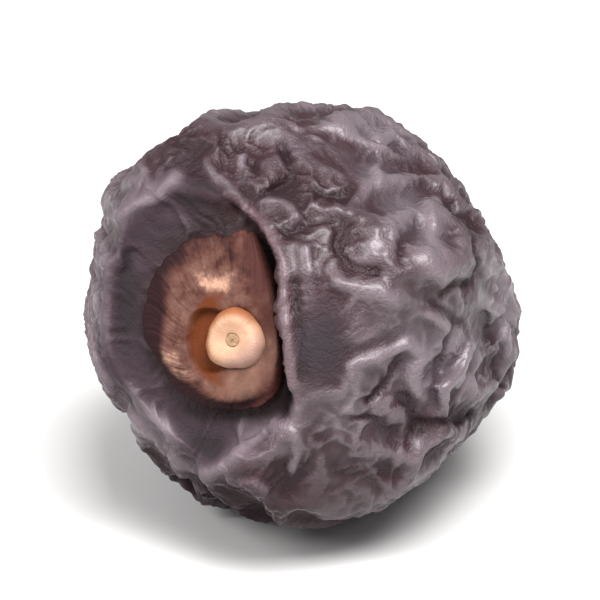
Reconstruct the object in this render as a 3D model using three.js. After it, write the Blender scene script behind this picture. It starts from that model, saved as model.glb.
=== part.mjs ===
// An ajwa date: a short, plump, sun-dried fruit with crumpled skin and a small papery cap at its stalk end.
// Millimetres, +Z up. The date lies on its belly with its cap towards -Y and tipped up a little.
// The origin is on the surface that it lies on, under the middle of the date.

import * as THREE from "three";
import { mergeVertices } from "three/addons/utils/BufferGeometryUtils.js";

// The date's own frame while it is being shaped: x across it, y up, and z along the stalk axis to the
// cap.
const tipUp = THREE.MathUtils.degToRad(14); // the stalk axis above the level
const upward = new THREE.Vector3(0, Math.cos(tipUp), Math.sin(tipUp)); // straight up, in that frame

// The flesh: a boxy egg with soft flats where the fruits pressed on each other as they dried.
const halfWidth = 11.45;
const halfHeight = 11.15;
const halfLength = 15.1;
const boxiness = 2.3; // 2 is a plain ellipsoid
const shoulderBoxiness = 0.8; // added towards the stalk end, for its squarer shoulders
const tipTaper = 0.05; // how much slimmer the blossom end is than the stalk end
const flatCount = 22;
const flatNear = 0.93; // a flat's distance from the centre, as a share of the egg's own reach that way
const flatSpread = 0.09;
const flatTurn = 1.2; // how far each flat is turned from an even spread, at most, in radians
const flatSharpness = 18; // higher numbers give crisper edges between flats

// Flats that give the outline seen when the cap faces the viewer, a little to the left: each has its
// turn round that view, in degrees from the right, and its distance from the centre.
const facingTurn = THREE.MathUtils.degToRad(19);
const facingDrop = THREE.MathUtils.degToRad(6);
const outlineFlats = [
  [118, 11],
  [98, 11.1],
  [69, 10.6],
  [37, 9.85],
  [20, 10.8],
  [-31, 10.9],
  [-47, 10.7],
  [-74, 10.9],
  [-135, 11.3],
  [-146, 11.2],
  [175, 11.5],
  [138, 11.5],
];

// The belly, where its weight has pressed it flat on the surface.
const bellyReach = 10.35;

// The hollow at the stalk end: cut across, dished, and walled on its right by a fold of skin.
const seatHeight = 11.2; // the hollow's floor, along the stalk axis from the centre
const seatRadius = 4.4; // the level middle of the floor, under the cap
const dishRise = 0.02; // how fast the floor climbs outside that
const dishSlope = 0.1;
const dishOpen = 0.75; // how much less it climbs to the left, where the hollow is open
const rimBlend = 0.35; // rounding of the hollow's rim
const rimLip = 0.3; // height of the thin raised lip along the rim
const lipWidth = 0.55;
const foldAcross = 4.5; // the fold's foot, to the right of the cap's middle
const foldCurl = 0.055; // how the fold bends in towards its top
const foldBend = -1.5; // where along its height the bending starts
const foldKnee = -2.4; // below here it turns away under the cap
const foldKneeCurl = 0.21;
const foldWidth = 0.8; // how wide its steep side is
const foldHeight = 4.5;
const foldCrest = 0.4; // how far its crest stands up from the skin behind it
const foldCrestWidth = 0.6;
const foldTop = 7.5; // its upper end
const foldFoot = -4.8; // its lower end
const foldEnding = 2.5; // the length that each end takes to die out
const foldLean = 1.6; // how far it hangs over the cap
const foldLeanWidth = 2.2; // how much of the skin behind it leans with it
const foldLeanStart = 1.3; // above the hollow's floor
const foldLeanEnd = 2.7;
const foldSmoothing = 2; // rounds that even out the points on its steep side
const foldSmoothWidth = 0.9;

// The blossom end: a tiny dimple where the style fell off.
const dimpleDepth = 0.8;
const dimpleRadius = 2.2;

// The skin, which is larger than the flesh that shrank under it, and so buckles.
const ballDetail = 22; // the skin has 20 times the square of this number plus one triangles
const skinExcess = 0.1; // extra length of the skin, as a share
const excessSpread = 0.03; // how much that varies over the fruit
const excessPatch = 12; // size of the patches that it varies by
const ringExcess = 0.03; // more of it round the fruit than along it, so that most folds run lengthwise
const skinStiffness = 0.07; // against bending
const grip = 0.018; // how firmly the flesh holds the skin: firmer makes finer folds
const gripSpread = 0.5;
const gripPatch = 9;
const pressIn = 0.12; // how far the skin can be pushed into the flesh
const pressBack = 0.5; // how hard the flesh then pushes back
const slip = 0.01; // how firmly the flesh holds the skin against sliding over it
const hollowGrip = 0.05; // added where the skin isn't loose
const hollowTight = 0.95; // the share of its looseness that the skin lacks in the hollow
const rimCalm = 1.8; // how far outside the hollow that starts
const rimSmooth = 0.3; // and how far outside it is complete
const bellyTight = 0.8; // the same three for the belly
const bellyCalm = 1;
const bellySmooth = 0.2;
const facetTight = 0.7; // the same share for a facet beside the fold, with its place behind the crest and up
const facetPlace = new THREE.Vector2(2.2, -1);
const facetSize = new THREE.Vector2(2, 3.5);
const crumpleSteps = 500;
const carry = 0.6; // the share of its speed that a point keeps from step to step
const stride = 0.6;
const tremble = 0.08; // size of the first unevenness, which the folds grow from
const trembleWave = 4.5;

// The cap at the stalk end, with heights above the floor of the hollow.
const capGap = 0.2; // between the cap's pieces, and between the cap and the fruit
const capSpokes = 72;
const petalCount = 3;
const petalRadius = 4.65;
const petalNotch = 0.06; // depth of the notches between petals, as a share of the radius
const petalWave = 0.03; // how uneven their outline is, as a share too
const petalEdgeHeight = 0.95; // the upper side at the edge
const petalEdgeDepth = 0.5; // thickness of the edge
const petalCurl = 0.15; // how far the edge curls up from the fruit, at most
const petalBend = 1.3; // 1 is a straight slope out to the edge, and higher numbers bend it down later
const petalRipple = 0.07; // height of the ripples in the petals
const petalRippleCount = 7;
const petalRippleSwirl = 2; // how they turn on their way out, in radians a millimetre
const petalTuck = 0.85; // kept between the petals and the foot of the fold
const petalSqueeze = 0.35; // how gently they are pressed against it
const petalStep = 0.25; // how far each petal lies over the next
const petalTurn = THREE.MathUtils.degToRad(100); // where the first petal's edge crosses the collar
const collarRadius = 2.5; // the raised ring round the cup
const collarHeight = 1.5;
const collarWall = 0.2; // how far inside the pocket's edge its wall starts
const pocketRadius = 2.25; // the pocket that the cup stands in
const pocketHeight = 0.8;
const pocketRings = [1.1, 1.8, 2.05, 2.2, 2.35, 2.5, 2.75]; // radii of rings from the pocket to the collar
const petalRings = [0.2, 0.4, 0.6, 0.8, 0.94]; // shares of the way from there to the edge
const cupPlace = new THREE.Vector2(0.5, -0.4); // the cup's middle, from the middle of the hollow
const petalPlace = new THREE.Vector2(0.1, 0.5); // the middle of the petals' outline, from there too
const cupRadius = 1.55;
const cupHeight = 2.15;
const cupSpokes = 48;
const cupLobe = 0.05; // how far the cup's three blunt lobes stand out, as a share of the radius
const cupLobeRise = 0.1; // how far they stand up
const cupHoleRadius = 0.5;
const cupHoleFloor = 1.25;
const scarRadius = 0.29;
const scarHeight = 1.95;
const scarSpokes = 20;
const scarOval = 0.06;

const goldenAngle = Math.PI * (3 - Math.sqrt(5));

// A repeatable draw from 0 to 1 for a whole number and a stream of draws.
function draw(index, stream) {
  const value = Math.sin(index * 127.1 + stream * 311.7 + 17.3) * 43758.5453;
  return value - Math.floor(value);
}

function smooth(value, low, high) {
  const t = THREE.MathUtils.clamp((value - low) / (high - low), 0, 1);
  return t * t * (3 - 2 * t);
}

// Directions spread evenly over a ball, each turned a little at random.
function evenDirections(count, stream, turnSpread) {
  return Array.from({ length: count }, (_, i) => {
    const height = 1 - (2 * (i + 0.5)) / count;
    const turn = i * goldenAngle + turnSpread * draw(i, stream);
    const level = Math.sqrt(1 - height * height);
    return new THREE.Vector3(level * Math.cos(turn), level * Math.sin(turn), height);
  });
}

// A random swell in space: cosine waves of about one wavelength that run every way, with a variance of
// 1.
function swell(wavelength, stream, count = 32) {
  const waves = evenDirections(count, stream, 2 * Math.PI).map((direction, i) => {
    const number = ((2 * Math.PI) / wavelength) * (0.75 + 0.5 * draw(i, stream + 1));
    return { along: direction.multiplyScalar(number), phase: 2 * Math.PI * draw(i, stream + 2) };
  });
  const size = Math.sqrt(2 / count);
  return (point) =>
    size * waves.reduce((sum, wave) => sum + Math.cos(wave.along.dot(point) + wave.phase), 0);
}

// The egg's reach in one direction: the radius at which the shares of its three half sizes, each to the
// power of boxiness, add up to 1.
function eggReach(direction) {
  const slim = 1 - tipTaper * smooth(-direction.z, -0.2, 1);
  const power = boxiness + shoulderBoxiness * smooth(direction.z, 0.1, 0.7);
  const shares =
    Math.abs(direction.x / (halfWidth * slim)) ** power +
    Math.abs(direction.y / (halfHeight * slim)) ** power +
    Math.abs(direction.z / halfLength) ** power;
  return shares ** (-1 / power);
}

// How far a plane that touches the egg lies from its centre, for the plane's normal.
function eggSupport(normal) {
  return Math.hypot(normal.x * halfWidth, normal.y * halfHeight, normal.z * halfLength);
}

// Every flat of the flesh: its normal and its distance from the centre.
function fleshFlats() {
  const flats = evenDirections(flatCount, 5, flatTurn).map((normal, i) => ({
    normal,
    reach: eggSupport(normal) * (flatNear + flatSpread * draw(i, 6)),
  }));
  const right = new THREE.Vector3(Math.cos(facingTurn), 0, -Math.sin(facingTurn));
  const up = new THREE.Vector3(0, Math.cos(facingDrop), -Math.sin(facingDrop));
  for (const [degrees, reach] of outlineFlats) {
    const turn = THREE.MathUtils.degToRad(degrees);
    const normal = right.clone().multiplyScalar(Math.cos(turn)).addScaledVector(up, Math.sin(turn));
    flats.push({ normal: normal.normalize(), reach });
  }
  return flats;
}

// The point of the flesh in one direction. The soft minimum of the egg's reach and every flat's is the
// sum of their inverses to a high power, brought back by its root.
function fleshPoint(direction, flats) {
  let sum = eggReach(direction) ** -flatSharpness;
  for (const { normal, reach } of flats)
    sum += Math.max(0, direction.dot(normal) / reach) ** flatSharpness;
  const point = direction.clone().multiplyScalar(sum ** (-1 / flatSharpness));
  hollowOut(point);
  dimple(point);
  return point;
}

// How far a point lies to the right of the fold's crest.
function pastFold(point) {
  const bent = Math.max(0, point.y - foldBend);
  const turned = Math.max(0, foldKnee - point.y);
  return point.x - foldAcross + foldCurl * bent ** 2 + foldKneeCurl * turned ** 2;
}

// The height of the hollow's floor and walls at a point.
function hollowHeight(point) {
  const out = Math.max(0, Math.hypot(point.x, point.y) - seatRadius);
  const wall = foldHeight * smooth(pastFold(point), -foldWidth, 0);
  const open = 1 - dishOpen * smooth(-point.x, 1, 6);
  return seatHeight + (dishRise * out + dishSlope) * out * open + wall;
}

// Lowers the stalk end to the hollow, with a thin lip where the two meet, and raises the fold's crest
// over it.
function hollowOut(point) {
  if (point.z < 0) return;
  const above = point.z - hollowHeight(point);
  const past = pastFold(point);
  const alongFold =
    smooth(foldTop - point.y, 0, foldEnding) * smooth(point.y - foldFoot, 0, foldEnding);
  point.z -= (above + Math.hypot(above, 2 * rimBlend)) / 2;
  point.z += rimLip * Math.exp(-((above / lipWidth) ** 2)) * smooth(-past, foldWidth / 2, 2 * foldWidth);
  point.z += foldCrest * Math.exp(-((past / foldCrestWidth) ** 2)) * alongFold;
  const leaning =
    smooth(point.z - seatHeight, foldLeanStart, foldLeanEnd) *
    smooth(past, -foldWidth, -foldWidth / 2) *
    Math.exp(-((Math.max(0, past) / foldLeanWidth) ** 2));
  point.x -= foldLean * leaning * alongFold;
}

// The little dent at the blossom end.
function dimple(point) {
  if (point.z > 0) return;
  const out = Math.hypot(point.x, point.y) / dimpleRadius;
  point.z += dimpleDepth * Math.exp(-out * out);
}

// A skin over the flesh: a ball of near-equal triangles, its edges, and how many edges meet at each
// point.
function skinMesh() {
  const ball = new THREE.IcosahedronGeometry(1, ballDetail);
  ball.deleteAttribute("normal");
  ball.deleteAttribute("uv");
  const welded = mergeVertices(ball, 1e-4);
  const triangles = Array.from(welded.index.array);
  const directions = [];
  for (let i = 0; i < welded.attributes.position.count; i++)
    directions.push(new THREE.Vector3().fromBufferAttribute(welded.attributes.position, i).normalize());
  const edges = [];
  const degree = new Float64Array(directions.length);
  for (let t = 0; t < triangles.length; t += 3)
    for (let side = 0; side < 3; side++) {
      const from = triangles[t + side];
      const to = triangles[t + ((side + 1) % 3)];
      if (from > to) continue; // the neighbouring triangle runs along this edge the other way
      edges.push([from, to]);
      degree[from] += 1;
      degree[to] += 1;
    }
  return { directions, triangles, edges, degree };
}

function surface(points, triangles) {
  const geometry = new THREE.BufferGeometry();
  const numbers = points.flatMap((point) => point.toArray());
  geometry.setAttribute("position", new THREE.Float32BufferAttribute(numbers, 3));
  geometry.setIndex(triangles);
  geometry.computeVertexNormals();
  return geometry;
}

// Outward normals of the points, weighted by the area of the triangles round each.
function normalsOf(points, triangles) {
  const { normal } = surface(points, triangles).attributes;
  return points.map((_, i) => new THREE.Vector3().fromBufferAttribute(normal, i));
}

// What the neighbours of each point have more of, on average.
function lead(field, { edges, degree }) {
  const sum = field.map(() => new THREE.Vector3());
  const step = new THREE.Vector3();
  for (const [from, to] of edges) {
    step.subVectors(field[to], field[from]);
    sum[from].addScaledVector(step, 1 / degree[from]);
    sum[to].addScaledVector(step, -1 / degree[to]);
  }
  return sum;
}

// Where the skin is loose, from 0 to 1: not in the hollow, little on the belly and on the facet beside
// the fold, and all of it elsewhere.
function looseness(point) {
  const atFront = point.z > 0 ? 1 : 0;
  const inHollow = atFront * smooth(point.z - hollowHeight(point), -rimCalm, -rimSmooth);
  const facetX = (pastFold(point) - facetPlace.x) / facetSize.x;
  const facetY = (point.y - facetPlace.y) / facetSize.y;
  const onFacet = atFront * Math.exp(-(facetX ** 2 + facetY ** 2));
  const onBelly = smooth(-point.dot(upward), bellyReach - bellyCalm, bellyReach - bellySmooth);
  return (1 - hollowTight * inHollow) * (1 - facetTight * onFacet) * (1 - bellyTight * onBelly);
}

// Lets the skin find its rest. Each edge wants its own length plus the excess, bending and the flesh
// hold it back, and the surface under the date keeps the belly flat. The lag is how far a point has left
// the flesh, and the stretch is the share by which an edge is longer than it wants to be.
function crumple(skin, flesh) {
  const normals = normalsOf(flesh, skin.triangles);
  const patches = swell(excessPatch, 33);
  const grips = swell(gripPatch, 43);
  const shake = swell(trembleWave, 11, 40);
  const loose = flesh.map(looseness);
  const excess = flesh.map((p, i) => loose[i] * (skinExcess + excessSpread * patches(p)));
  const hold = flesh.map((p, i) => grip * Math.exp(gripSpread * grips(p)) + hollowGrip * (1 - loose[i]));
  const rest = skin.edges.map(([from, to]) => {
    const span = new THREE.Vector3().subVectors(flesh[to], flesh[from]);
    const length = span.length();
    const round = 1 - (span.z / length) ** 2;
    const free = (loose[from] + loose[to]) / 2;
    return length * (1 + (excess[from] + excess[to]) / 2 + ringExcess * round * free);
  });
  const points = flesh.map((p, i) =>
    p.clone().addScaledVector(normals[i], tremble * loose[i] * shake(p)),
  );
  const speed = points.map(() => new THREE.Vector3());
  const span = new THREE.Vector3();
  for (let step = 0; step < crumpleSteps; step++) {
    const push = points.map(() => new THREE.Vector3());
    skin.edges.forEach(([from, to], e) => {
      span.subVectors(points[to], points[from]);
      const stretch = 1 - rest[e] / span.length();
      push[from].addScaledVector(span, stretch / skin.degree[from]);
      push[to].addScaledVector(span, -stretch / skin.degree[to]);
    });
    const lag = points.map((p, i) => p.clone().sub(flesh[i]));
    const bending = lead(lead(lag, skin), skin);
    points.forEach((point, i) => {
      const off = lag[i].dot(normals[i]);
      const outward = pressBack * Math.max(0, -pressIn - off) - hold[i] * off;
      push[i].addScaledVector(bending[i], -skinStiffness);
      push[i].addScaledVector(normals[i], outward + slip * off);
      push[i].addScaledVector(lag[i], -slip);
      speed[i].multiplyScalar(carry).add(push[i]);
      point.addScaledVector(speed[i], stride);
      const under = -bellyReach - point.dot(upward);
      if (under > 0) point.addScaledVector(upward, under);
    });
  }
  return points;
}

// A closed solid round the cup's middle: rings from the middle of its top, over its edge, to the middle
// of its underside. Each ring gives its radius and height for a turn, and the first and the last are
// single points.
function ringSolid(rings, spokes) {
  const points = [new THREE.Vector3(cupPlace.x, cupPlace.y, rings[0](0)[1])];
  for (const ring of rings.slice(1, -1))
    for (let spoke = 0; spoke < spokes; spoke++) {
      const turn = (2 * Math.PI * spoke) / spokes;
      const [radius, height] = ring(turn);
      const x = cupPlace.x + radius * Math.cos(turn);
      const y = cupPlace.y + radius * Math.sin(turn);
      points.push(new THREE.Vector3(x, y, height));
    }
  const last = points.push(new THREE.Vector3(cupPlace.x, cupPlace.y, rings.at(-1)(0)[1])) - 1;
  const at = (ring, spoke) => 1 + ring * spokes + (spoke % spokes);
  const triangles = [];
  for (let spoke = 0; spoke < spokes; spoke++) {
    triangles.push(0, at(0, spoke), at(0, spoke + 1));
    for (let ring = 0; ring < rings.length - 3; ring++) {
      triangles.push(at(ring, spoke), at(ring + 1, spoke), at(ring + 1, spoke + 1));
      triangles.push(at(ring, spoke), at(ring + 1, spoke + 1), at(ring, spoke + 1));
    }
    triangles.push(last, at(rings.length - 3, spoke + 1), at(rings.length - 3, spoke));
  }
  return { points, triangles };
}

// How far a turn lies along its petal, from 0 at the edge that lies over the last petal to 1 at the edge
// underneath.
function alongPetal(turn) {
  const share = ((turn - petalTurn) / (2 * Math.PI)) * petalCount;
  return share - Math.floor(share);
}

// The cap's outline: a rounded lobe for each petal.
function petalEdge(turn) {
  const across = 2 * alongPetal(turn) - 1;
  return petalRadius * (1 - petalNotch * Math.abs(across) ** 5 + petalWave * Math.sin(2 * turn + 1));
}

// The petals' upper side: the pocket, the collar round it, and a slope out to the edge, with a step
// wherever one petal's edge lies over the next.
function petalTop(radius, turn) {
  const wall = smooth(radius, pocketRadius - collarWall, collarRadius);
  const out = THREE.MathUtils.clamp((radius - collarRadius) / (petalRadius - collarRadius), 0, 1.2);
  const slope = (collarHeight - petalEdgeHeight) * out ** petalBend;
  const step = petalStep * (0.5 - alongPetal(turn)) * smooth(radius, pocketRadius, collarRadius + 1);
  const ripple = petalRipple * out * Math.sin(petalRippleCount * turn + petalRippleSwirl * radius);
  return pocketHeight + (collarHeight - pocketHeight) * wall - slope + step + ripple;
}

function petalPoints() {
  const lastPocketRing = pocketRings.at(-1);
  const under = (turn) => capGap + petalCurl * (1 - alongPetal(turn));
  const edge = (turn, inset, drop) => [petalEdge(turn) - inset, petalTop(petalEdge(turn), turn) - drop];
  const across = (turn, share) => {
    const radius = THREE.MathUtils.lerp(lastPocketRing, petalEdge(turn), share);
    return [radius, petalTop(radius, turn)];
  };
  const petals = ringSolid(
    [
      () => [0, pocketHeight],
      ...pocketRings.map((radius) => (turn) => [radius, petalTop(radius, turn)]),
      ...petalRings.map((share) => (turn) => across(turn, share)),
      (turn) => edge(turn, 0, petalEdgeDepth / 4),
      (turn) => edge(turn, 0, petalEdgeDepth),
      (turn) => [petalEdge(turn) - petalEdgeDepth / 4, under(turn)],
      (turn) => [petalEdge(turn) * 0.7, capGap],
      (turn) => [petalEdge(turn) * 0.3, capGap],
      () => [0, capGap],
    ],
    capSpokes,
  );
  for (const point of petals.points) {
    const fromCup = Math.hypot(point.x - cupPlace.x, point.y - cupPlace.y);
    const out = smooth(fromCup, collarRadius, petalRadius);
    point.x += out * (petalPlace.x - cupPlace.x);
    point.y += out * (petalPlace.y - cupPlace.y);
    squeeze(point);
  }
  return petals;
}

// Presses the petals in at the foot of the fold: the soft minimum of a point's place and the room there
// is, less the little that the soft minimum takes from the middle.
function squeeze(point) {
  const room = point.x - pastFold(point) - foldWidth - petalTuck;
  const over = point.x - room;
  const soft = 2 * petalSqueeze;
  point.x -= (over + Math.hypot(over, soft)) / 2 - (Math.hypot(room, soft) - room) / 2;
}

// The fused sepals: a short cup with a rolled rim of three blunt lobes, round a narrow hole.
function cupPoints() {
  const lobes = (turn) => Math.cos(petalCount * (turn - petalTurn));
  const underside = pocketHeight + capGap;
  const ring = (radius, height, lift) => (turn) => [
    radius * (1 + cupLobe * lift * lobes(turn)),
    height + cupLobeRise * lift * lobes(turn),
  ];
  return ringSolid(
    [
      ring(0, cupHoleFloor, 0),
      ring(cupHoleRadius * 0.6, cupHoleFloor, 0),
      ring(cupHoleRadius, cupHoleFloor + 0.05, 0),
      ring(cupHoleRadius, cupHeight - 0.5, 0),
      ring(cupHoleRadius + 0.12, cupHeight - 0.33, 0.2),
      ring(cupRadius * 0.58, cupHeight - 0.16, 0.5),
      ring(cupRadius * 0.76, cupHeight, 1),
      ring(cupRadius * 0.9, cupHeight - 0.05, 1),
      ring(cupRadius, cupHeight - 0.28, 1),
      ring(cupRadius * 0.97, cupHeight - 0.6, 0.7),
      ring(cupRadius * 0.88, underside + 0.25, 0.3),
      ring(cupRadius * 0.82, underside, 0),
      ring(cupRadius * 0.4, underside, 0),
      ring(0, underside, 0),
    ],
    cupSpokes,
  );
}

// The end of the strand that fed the fruit, standing in the cup's hole.
function scarPoints() {
  const ring = (radius, height) => (turn) => [radius * (1 + scarOval * Math.cos(2 * turn)), height];
  const foot = cupHoleFloor + capGap;
  return ringSolid(
    [
      ring(0, scarHeight - 0.05),
      ring(scarRadius * 0.6, scarHeight),
      ring(scarRadius, scarHeight - 0.12),
      ring(scarRadius * 0.94, foot),
      ring(0, foot),
    ],
    scarSpokes,
  );
}

// Moves the points of the flesh near the fold towards their neighbours.
function smoothFold(skin, flesh) {
  const near = flesh.map((p) => (p.z > 0 ? Math.exp(-((pastFold(p) / foldSmoothWidth) ** 2)) : 0));
  for (let round = 0; round < foldSmoothing; round++) {
    const towards = lead(flesh, skin);
    flesh.forEach((point, i) => point.addScaledVector(towards[i], near[i] / 2));
  }
}

function fruitPoints() {
  const skin = skinMesh();
  const flats = fleshFlats();
  const flesh = skin.directions.map((direction) => fleshPoint(direction, flats));
  smoothFold(skin, flesh);
  return { points: crumple(skin, flesh), triangles: skin.triangles };
}

// Turns a shaped solid from the date's own frame to the way it lies, and stands its belly on the
// surface.
function laid({ points, triangles }, rise) {
  const turn = new THREE.Matrix4().makeRotationX(Math.PI / 2 - tipUp);
  const placed = points.map((point) => {
    const moved = point.clone();
    moved.z += rise;
    moved.applyMatrix4(turn);
    moved.z += bellyReach;
    if (Math.abs(moved.z) < 1e-6) moved.z = 0;
    return moved;
  });
  return surface(placed, triangles);
}

function piece(name, geometry, colour, roughness) {
  const material = new THREE.MeshStandardMaterial({ color: colour, roughness, metalness: 0 });
  const mesh = new THREE.Mesh(geometry, material);
  mesh.name = name;
  return mesh;
}

const date = new THREE.Group();
date.name = "date";
date.add(piece("fruit", laid(fruitPoints(), 0), 0x2e2226, 0.45));
date.add(piece("petals", laid(petalPoints(), seatHeight), 0x9a5a44, 0.75));
date.add(piece("sepal_cup", laid(cupPoints(), seatHeight), 0xe0b27c, 0.65));
date.add(piece("stalk_scar", laid(scarPoints(), seatHeight), 0x6b4326, 0.8));

// The origin goes under the middle of the whole date.
const middle = new THREE.Box3().setFromObject(date).getCenter(new THREE.Vector3());
date.position.set(-middle.x, -middle.y, 0);

export default date;
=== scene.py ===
# An ajwa date on a pale floor: the fine folds of its skin, its papery cap, the light and the camera.
import math

import bpy
import numpy as np
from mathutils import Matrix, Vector


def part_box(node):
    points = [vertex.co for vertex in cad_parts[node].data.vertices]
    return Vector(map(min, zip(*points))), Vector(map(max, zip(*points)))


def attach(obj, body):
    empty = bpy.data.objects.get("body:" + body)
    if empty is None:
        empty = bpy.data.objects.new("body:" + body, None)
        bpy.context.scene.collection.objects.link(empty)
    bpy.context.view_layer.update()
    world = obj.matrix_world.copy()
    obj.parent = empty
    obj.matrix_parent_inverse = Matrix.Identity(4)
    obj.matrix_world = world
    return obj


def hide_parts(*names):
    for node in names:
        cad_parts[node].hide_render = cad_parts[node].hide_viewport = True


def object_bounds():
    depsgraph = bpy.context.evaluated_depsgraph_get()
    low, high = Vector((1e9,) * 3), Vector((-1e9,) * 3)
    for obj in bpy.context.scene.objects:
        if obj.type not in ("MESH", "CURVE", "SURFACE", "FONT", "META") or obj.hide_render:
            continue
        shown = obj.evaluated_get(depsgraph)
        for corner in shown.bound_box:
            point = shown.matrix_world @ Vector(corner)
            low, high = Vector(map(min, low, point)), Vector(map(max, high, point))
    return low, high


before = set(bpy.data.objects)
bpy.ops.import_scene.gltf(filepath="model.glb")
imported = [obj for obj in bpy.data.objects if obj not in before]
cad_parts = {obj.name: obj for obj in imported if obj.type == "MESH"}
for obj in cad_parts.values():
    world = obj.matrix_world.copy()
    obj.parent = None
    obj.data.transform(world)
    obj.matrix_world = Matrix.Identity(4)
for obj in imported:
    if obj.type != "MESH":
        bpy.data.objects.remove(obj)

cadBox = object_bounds()
mm = 0.001
goldenAngle = math.pi * (3 - math.sqrt(5))

# How the date lies, and the hollow at its stalk end, in millimetres, as the solids have them.
# The date's own frame has x across it, y up and z along the stalk axis to the cap.
lie = {
    "tipUp": math.radians(14),
    "seatHeight": 11.2,
    "seatRadius": 4.4,
    "dishRise": 0.02,
    "dishSlope": 0.1,
    "dishOpen": 0.75,
    "foldAcross": 4.5,
    "foldCurl": 0.055,
    "foldBend": -1.5,
    "foldKnee": -2.4,
    "foldKneeCurl": 0.21,
    "foldWidth": 0.8,
    "foldHeight": 4.5,
    "foldTop": 7.5,
    "foldFoot": -4.8,
    "cup": (0.5, -0.4),  # the middle of the cup and of the petals, across and up
    "petals": (0.1, 0.5),
    "scarMiddle": 1.7,  # above the floor of the hollow
}


def draw(index, stream):
    # a repeatable number from 0 to 1: the fraction of a large sine
    return np.mod(np.sin(index * 127.1 + stream * 311.7 + 17.3) * 43758.5453, 1.0)


def ease(value, low, high):
    # 0 below low, 1 above high, and 3t^2 - 2t^3 between
    t = np.clip((value - low) / (high - low), 0, 1)
    return t * t * (3 - 2 * t)


def bell(away, width, sharp=2):
    # 1 in the middle of a line and falling off on both sides: exp(-(away / width)^sharp)
    return np.exp(-(away / width) ** sharp)


def softened(values, rounds):
    # each round gives a value half of itself and a quarter of each neighbour; the ends stay
    for _ in range(rounds):
        values[1:-1] = (values[:-2] + 2 * values[1:-1] + values[2:]) / 4
    return values


def swell(points, wavelength, stream, count=36):
    # the sum of cosine waves of about one length that run every way, scaled to a variance of 1
    i = np.arange(count)
    height = 1 - 2 * (i + 0.5) / count
    turn = i * goldenAngle + 2 * math.pi * draw(i, stream)
    level = np.sqrt(1 - height ** 2)
    number = 2 * math.pi / wavelength * (0.75 + 0.5 * draw(i, stream + 1))
    waves = np.stack([level * np.cos(turn), level * np.sin(turn), height]) * number
    phase = 2 * math.pi * draw(i, stream + 2)
    return np.cos(points @ waves + phase).sum(1) * math.sqrt(2 / count)


# The stalk axis passes near the middle of the scar, which gives the place of the date's own frame.
rise, run = math.sin(lie["tipUp"]), math.cos(lie["tipUp"])
ownAxes = np.array([(1.0, 0.0, 0.0), (0.0, rise, run), (0.0, -run, rise)])  # its x, y and z
scarCorners = np.array(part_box("stalk_scar")) / mm
scarPlace = np.array([*lie["cup"], lie["seatHeight"] + lie["scarMiddle"]])
ownMiddle = scarCorners.mean(0) - scarPlace @ ownAxes


def toOwn(points):
    # world millimetres to the date's own frame
    return (points - ownMiddle) @ ownAxes.T


def toWorld(points):
    # the date's own frame to world millimetres
    return points @ ownAxes + ownMiddle


def pastFold(own):
    # how far a point lies to the right of the fold: x less the fold's place at that height
    bent = np.maximum(0, own[:, 1] - lie["foldBend"])
    turned = np.maximum(0, lie["foldKnee"] - own[:, 1])
    place = lie["foldAcross"] - lie["foldCurl"] * bent ** 2 - lie["foldKneeCurl"] * turned ** 2
    return own[:, 0] - place


def hollowHeight(own):
    # the floor, which climbs outside its level middle, plus the wall under the fold
    out = np.maximum(0, np.hypot(own[:, 0], own[:, 1]) - lie["seatRadius"])
    wall = lie["foldHeight"] * ease(pastFold(own), -lie["foldWidth"], 0)
    climb = 1 - lie["dishOpen"] * ease(-own[:, 0], 1, 6)
    return lie["seatHeight"] + (lie["dishRise"] * out + lie["dishSlope"]) * out * climb + wall


# The side that the camera sees: it stands so far round from -Y towards +X, and so far above.
view = {
    "facing": math.radians(19),
    "above": math.radians(20),
}
towards = Vector((
    math.cos(view["above"]) * math.sin(view["facing"]),
    -math.cos(view["above"]) * math.cos(view["facing"]),
    math.sin(view["above"])))
rightwards = Vector((0, 0, 1)).cross(towards).normalized()
upwards = towards.cross(rightwards)


# Meshes as arrays of points in millimetres and rows of three corners
def weldedCopy(node):
    # the points and triangles of a solid, with the corners at one place made one point
    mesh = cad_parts[node].data
    corners = np.zeros(len(mesh.vertices) * 3, np.float32)
    mesh.vertices.foreach_get("co", corners)
    mesh.calc_loop_triangles()
    triangles = np.zeros(len(mesh.loop_triangles) * 3, np.int32)
    mesh.loop_triangles.foreach_get("vertices", triangles)
    corners = corners.reshape(-1, 3).astype(float) / mm
    _, first, place = np.unique(np.round(corners, 3), axis=0, return_index=True, return_inverse=True)
    triangles = place.reshape(-1)[triangles].reshape(-1, 3)
    whole = (triangles != np.roll(triangles, 1, axis=1)).all(1)
    return corners[first], triangles[whole]


def edgesOf(triangles, count):
    # the pairs of joined points, which of them each triangle's sides are, and how many a point is in
    sides = np.concatenate([triangles[:, [0, 1]], triangles[:, [1, 2]], triangles[:, [2, 0]]])
    edges, side = np.unique(np.sort(sides, 1), axis=0, return_inverse=True)
    return edges, side.reshape(3, -1), np.bincount(edges.ravel(), minlength=count).astype(float)


def gather(index, values, count):
    # the sum of the rows that share an index
    return np.stack([np.bincount(index, column, count) for column in values.T], 1)


def normalsOf(points, triangles):
    # the area-weighted mean of the normals round each point
    a, b, c = points[triangles[:, 0]], points[triangles[:, 1]], points[triangles[:, 2]]
    faceNormals = np.cross(b - a, c - a)
    total = sum(gather(triangles[:, corner], faceNormals, len(points)) for corner in range(3))
    return total / np.linalg.norm(total, axis=1)[:, None]


def spread(steps, edges, degree):
    # the mean at each point of the steps along its edges, all taken as starting there
    both = np.concatenate([edges[:, 0], edges[:, 1]])
    return gather(both, np.concatenate([steps, -steps]), len(degree)) / degree[:, None]


def lead(field, edges, degree):
    # what the neighbours of each point have more of, on average
    return spread(field[edges[:, 1]] - field[edges[:, 0]], edges, degree)


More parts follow.
